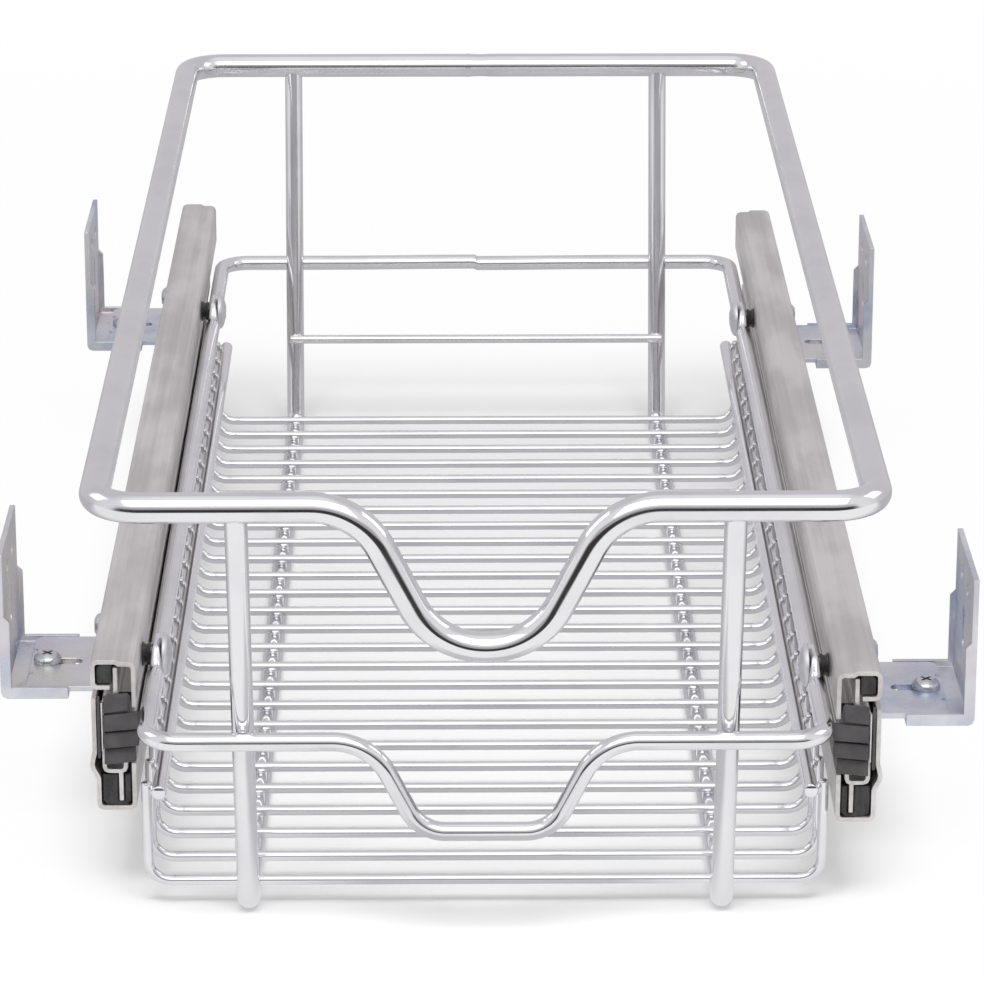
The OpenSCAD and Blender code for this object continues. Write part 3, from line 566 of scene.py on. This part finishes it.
# Ball cages and balls: punched steel strips that space the hardened balls in the two races. They lie
# loose between two members each, and run at the mean speed of the two.
ball_steel, shader, place = finish("hardened_ball_steel", Metallic=1.0)
worn(shader, Base_Color=place.grain(300).between((0.72, 0.72, 0.74), (0.80, 0.80, 0.82)),
     Roughness=0.08 + place.grain(500) * 0.08)
for side in SIDES:
    for level in ("lower", "upper"):
        body = f"{level}_cage_body_{side}"
        refined(f"{level}_ball_strip_{side}", f"{level}_cage_{side}", body, slide_steel, width=0)
        refined(f"{level}_ball_set_{side}", f"{level}_balls_{side}", body, ball_steel, width=0, sharp=60)

# Middle members: roll-formed galvanised sections between the two others, carried and guided by both
# ball races. Each travels half as far as the basket.
for side in SIDES:
    refined(f"middle_rail_{side}", f"middle_member_{side}", f"middle_{side}", slide_steel)

# Bumpers: soft charcoal plastic, pushed into the front of the middle member. Four tiers with grooves
# between them stand ahead of the steel, and the member's web shows in a slot beside them.
charcoal, shader, place = finish("soft_charcoal_plastic", Specular_IOR_Level=0.35)
grain = place.grain(2200, 3)
mottle = place.grain(180, 3).rising(0.35, 0.7)
worn(shader, grain, strength=0.3, depth=0.00015,
     Base_Color=mottle.between((0.058, 0.055, 0.057), (0.082, 0.078, 0.081)),
     Roughness=0.5 + mottle * 0.15)


def block(mesh, low, high, sign, front, slope=0.0, drop=0.0):
    """Adds a box between two corners of a slide's own section, mirrored for the left-hand slide. Its
    front leans back by slope at the top, and its outer end drops."""
    v = []
    for x in (low[0], high[0]):
        for y in (low[1], high[1]):
            for z in (low[2], high[2]):
                lean = slope if y == low[1] and z == high[2] else 0
                fall = drop if x == high[0] else 0
                v.append(mesh.verts.new((sign * (SLIDE_X + x) / 1000, (front + y + lean) / 1000,
                                         (SLIDE_Z + z - fall) / 1000)))
    for corners in ((0, 1, 3, 2), (4, 6, 7, 5), (0, 4, 5, 1), (2, 3, 7, 6), (0, 2, 6, 4), (1, 5, 7, 3)):
        mesh.faces.new([v[k] for k in corners])


# Each tier's bottom, top, inner edge and front, and what they share. The core, both lips and the tongue
# are given by two corners.
TIERS = [(14.8, 19.0, 0.3, -2.4), (19.6, 23.8, -0.7, -2.9),
         (24.4, 28.9, -0.9, -2.8), (29.5, 34.1, 2.0, -2.2)]
TIER_EDGE, TIER_BACK, TIER_SLOPE, TIER_DROP = 8.7, -0.3, 1.1, 0.9
CORE = (1.9, -1.0, 15.2), (7.6, 13.0, 29.0)
INNER_LIP = (1.6, -1.1, 15.2), (8.0, -0.35, 33.6)
OUTER_LIP = (9.6, -2.1, 15.6), (10.4, -0.35, 33.2)
TONGUE = (8.9, -1.6, 17.6), (9.4, -0.02, 31.4)
for side, sign in SIDES.items():
    front = SIDE_FRONT[side]
    mesh = bmesh.new()
    for low_z, high_z, inner, ahead_y in TIERS:
        block(mesh, (inner, ahead_y, low_z), (TIER_EDGE, TIER_BACK, high_z), sign, front,
              TIER_SLOPE, TIER_DROP)
    block(mesh, *CORE, sign, front)
    piece = softened(made(f"stop_bumper_{side}", mesh, f"middle_{side}", charcoal), width=1.1)
    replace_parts(piece, f"bumper_{side}")
    mesh = bmesh.new()
    block(mesh, *INNER_LIP, sign, front)
    block(mesh, *OUTER_LIP, sign, front, slope=0.5)
    piece = softened(made(f"bumper_lip_{side}", mesh, f"middle_{side}", charcoal), width=0.35)
    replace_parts(piece, f"bumper_{side}")
    mesh = bmesh.new()
    block(mesh, *TONGUE, sign, front)
    softened(made(f"web_tongue_{side}", mesh, f"middle_{side}", slide_steel), width=0.12, steps=2)

# Top members: inverted channels with a crowned top, screwed to the basket's eyes, each closed in front
# by a black plastic block.
for side in SIDES:
    refined(f"top_rail_{side}", f"top_member_{side}", "basket", slide_steel)
    refined(f"race_block_{side}", f"top_block_{side}", "basket", plastic, width=0.3)

# Slide plates: the inner halves of the brackets, blanked, slotted and folded from sheet steel, then
# plated with blue zinc. Each is bolted to a cabinet member's web.
zinc_plate, shader, place = finish("blue_zinc_plate", Metallic=0.92)
cloud = place.grain(48, 4, 0.6).rising(0.3, 0.72)
tint = place.grain(23, 2).rising(0.35, 0.65)
fine = place.scaled(1, 1, 0.12).grain(700, 4)
hue = place.grain(31, 2).rising(0.4, 0.6)
worn(shader, fine, strength=0.08, depth=0.0001,
     Base_Color=(cloud * 0.8 + fine * 0.3).rising(0.1, 1.0).between(
         tint.between((0.46, 0.54, 0.70), hue.between((0.73, 0.66, 0.72), (0.73, 0.71, 0.67))),
         (0.80, 0.82, 0.86)),
     Roughness=0.22 + cloud * 0.14 + fine * 0.08)
for side in SIDES:
    for end in ("front", "rear"):
        refined(f"slotted_plate_{side}_{end}", f"slide_plate_{side}_{end}", "cabinet_side", zinc_plate,
                width=0.2)

# Wall angles: the outer halves of the brackets, of the same plated steel, with folded rims and a tall
# leg that is drilled and slotted for the cabinet's wall. Each lies under its slide plate.
for side in SIDES:
    for end in ("front", "rear"):
        refined(f"wall_leg_{side}_{end}", f"wall_angle_{side}_{end}", "cabinet_side", zinc_plate,
                width=0.2)

# Clamp screws, their square nuts and the bracket bolts: bright zinc plated steel with cross recesses.
# The clamp screws hold each bracket's halves at the wanted reach, and the bolts fix it to the slide.
zinc_screw, shader, place = finish("bright_zinc_screw", Metallic=1.0)
cloud = place.grain(260, 3).rising(0.35, 0.7)
worn(shader, place.grain(1400, 2), strength=0.2, depth=0.00008,
     Base_Color=cloud.between((0.66, 0.68, 0.70), (0.78, 0.79, 0.80)),
     Roughness=0.20 + cloud * 0.16)
BRACKET_W, BRACKET_T, BRACKET_Z, BRACKET_X = 42.0, 1.5, 42.0, SLIDE_X + SLIDE_W
BRACKET_REACH, BRACKET_SPACING, CLAMP_INSET, BOLT_INSET, BOLT_RISE = 28, 320, 11.2, 9.5, 9.3
CLAMP_HEAD, BOLT_HEAD = (7.8, 2.6), (7.2, 2.8)
NUT_T, THREAD_OVER = 3, 1.2
BRACKET_FRONT = {"left": SIDE_FRONT["left"] + 39, "right": SIDE_FRONT["right"] + 27}
screws, bolts = bmesh.new(), bmesh.new()
for side, sign in SIDES.items():
    for start in (BRACKET_FRONT[side], BRACKET_FRONT[side] + BRACKET_SPACING):
        x, y = sign * (BRACKET_X + BRACKET_REACH - CLAMP_INSET), start + BRACKET_W / 2
        pan_screw(screws, (x, y, BRACKET_Z + 2 * BRACKET_T), (0, 0, 1),
                  *CLAMP_HEAD, SCREW_D, 2 * BRACKET_T + NUT_T + THREAD_OVER)
        pan_screw(bolts, (sign * (BRACKET_X + BRACKET_T), start + BRACKET_W - BOLT_INSET,
                          BRACKET_Z + BOLT_RISE), (sign, 0, 0), *BOLT_HEAD, SCREW_D, SLIDE_T + BRACKET_T)
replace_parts(made("clamp_screw_set", screws, "cabinet_side", zinc_screw, sharp=40), "clamp_screws")
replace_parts(made("bracket_bolt_set", bolts, "cabinet_side", zinc_screw, sharp=40), "bracket_bolts")
refined("square_nuts", "clamp_nuts", "cabinet_side", zinc_screw, width=0.3)

# Studio: a pale round floor and a white room, with a dark low band in front for the chrome to show.
# The light is soft: one lamp in front, a key lamp that polished metal doesn't show, and one each side.
FLOOR_REACH = 1.15
WHITE, DARK = (1.0, 1.0, 1.0), (0.045, 0.04, 0.042)
# The second floor tone is painted shade: the grey that polished metal sees on the floor where the basket's
# shadow falls
FLOOR_PALE, FLOOR_PAINTED_SHADE = (0.93, 0.93, 0.93), (0.52, 0.51, 0.53)
WALL_FRONT, WALL_REAR, CEILING = (0.80, 0.80, 0.81), (0.60, 0.585, 0.61), (0.86, 0.86, 0.87)
LOW_BAND, AMBIENT = (0.41, 0.40, 0.41), (0.42, 0.42, 0.42)
mesh = bmesh.new()
bmesh.ops.create_circle(mesh, cap_ends=True, segments=128, radius=FLOOR_REACH)
data = bpy.data.meshes.new("studio_floor")
mesh.to_mesh(data)
mesh.free()
floor = bpy.data.objects.new("studio_floor", data)
bpy.context.scene.collection.objects.link(floor)
floor_look, shader, place = finish("pale_floor", Roughness=0.7, Specular_IOR_Level=0.1)
tree = floor_look.node_tree
worn(shader, Base_Color=place.grain(6).between((0.90, 0.90, 0.905), (0.93, 0.93, 0.93)))


def split(vector, *numbers):
    """Some of the three numbers of a direction or place."""
    return [vector.node("ShaderNodeSeparateXYZ", None, {0: vector}, out=k) for k in numbers]


def ray(tree, kind):
    """Light Path's answer to what kind of ray meets the surface."""
    return Look(tree).node("ShaderNodeLightPath", out=kind)


# The camera sees the floor white but for the shadow at the basket. Polished metal sees it pale in front
# of the basket, grey with painted shade of the basket under, behind and just ahead of its middle, and dark
# at the far front edge.
across, back = split(place, 0, 1)
aside = across.node("ShaderNodeMath", {"operation": "ABSOLUTE"}, {0: across})
away = aside.rising(0.088, 0.13)
beyond = back.rising(0.19, 0.32) + (0 - back).rising(0.20, 0.27)
outside = away + beyond - away * beyond
far = place.node("ShaderNodeVectorMath", {"operation": "LENGTH"}, {0: place}, out=1).rising(0.4, 0.9)
seen = ray(tree, "Is Camera Ray") * (0.12 + outside * 0.83 + far * 0.05)
mirrored = ray(tree, "Is Glossy Ray") + ray(tree, "Is Transmission Ray")
middle = aside.rising(0.025, 0.062)
# Painted shade: the floor that polished metal sees is greyed under, behind and just ahead of the basket's
# middle, where its shadow falls
painted_shade = 1 - (1 - back.rising(-0.26, -0.12)) * (1 - (1 - middle) * back.rising(-0.30, -0.27) * 0.8)
table = (0 - back).rising(0.60, 0.72).between(painted_shade.between(FLOOR_PALE, FLOOR_PAINTED_SHADE), DARK)
glow = Look(tree).node("ShaderNodeEmission", None, {"Color": mirrored.between(WHITE, table)})
lit = Look(tree).node("ShaderNodeMixShader", None,
                      {0: seen + mirrored, 1: Look(tree, shader.outputs[0]), 2: glow})
tree.links.new(lit.socket, tree.nodes["Material Output"].inputs["Surface"])
floor.data.materials.append(floor_look)

# The camera sees a white room, and dull surfaces take an even grey light from it. Polished metal sees
# pale walls, greyer behind the basket, and a grey and a dark band low on the camera's side.
world = bpy.data.worlds.new("white_room")
bpy.context.scene.world = world
world.use_nodes = True
tree = world.node_tree
background = tree.nodes["Background"]
way = Look(tree).node("ShaderNodeTexCoord", out=0)
ahead, height = split(way, 1, 2)
toward = (0 - ahead).rising(0.55, 0.80)
wall = ahead.rising(-0.35, 0.35).between(WALL_FRONT, WALL_REAR)
room = height.rising(0.86, 1.0).between(wall, CEILING)
room = ((1 - height.rising(0.26, 0.42)) * toward).between(room, LOW_BAND)
room = ((1 - height.rising(0.06, 0.14)) * toward).between(room, DARK)
room = ray(tree, "Is Diffuse Ray").between(room, AMBIENT)
room = ray(tree, "Is Camera Ray").between(room, WHITE)
tree.links.new(room.socket, background.inputs["Color"])
background.inputs["Strength"].default_value = 1.0


def softbox(name, place, aim, size, watts, mirrored=True):
    """A rectangular area lamp aimed at a point, which polished metal shows or doesn't show."""
    lamp = bpy.data.lights.new(name, "AREA")
    lamp.shape, lamp.size, lamp.size_y, lamp.energy = "RECTANGLE", size[0], size[1], watts
    stand = bpy.data.objects.new(name, lamp)
    stand.location = place
    stand.rotation_euler = (Vector(aim) - Vector(place)).to_track_quat("-Z", "Y").to_euler()
    stand.visible_glossy = mirrored
    bpy.context.scene.collection.objects.link(stand)


MIDDLE = (0, 0, 0.06)
softbox("lamp_front", (0, -0.95, 1.15), aim=MIDDLE, size=(1.5, 1.0), watts=5.5)
softbox("lamp_key", (0, -0.80, 1.20), aim=(0, 0, 0), size=(0.8, 0.45), watts=11.5, mirrored=False)
softbox("lamp_left", (-1.4, 0.1, 1.0), aim=MIDDLE, size=(0.8, 0.8), watts=1.6)
softbox("lamp_right", (1.4, 0.1, 1.0), aim=MIDDLE, size=(0.8, 0.8), watts=1.6)

camera = bpy.data.cameras.new("camera")
camera.sensor_width, camera.lens = 36, 167.2
camera.clip_start, camera.clip_end = 0.05, 20
eye = bpy.data.objects.new("camera", camera)
eye.location = (-0.0086, -1.3351, 0.510)
eye.rotation_euler = (math.radians(70.8), 0, math.radians(-0.53))
bpy.context.scene.collection.objects.link(eye)
bpy.context.scene.camera = eye
bpy.context.scene.view_settings.view_transform = "Standard"
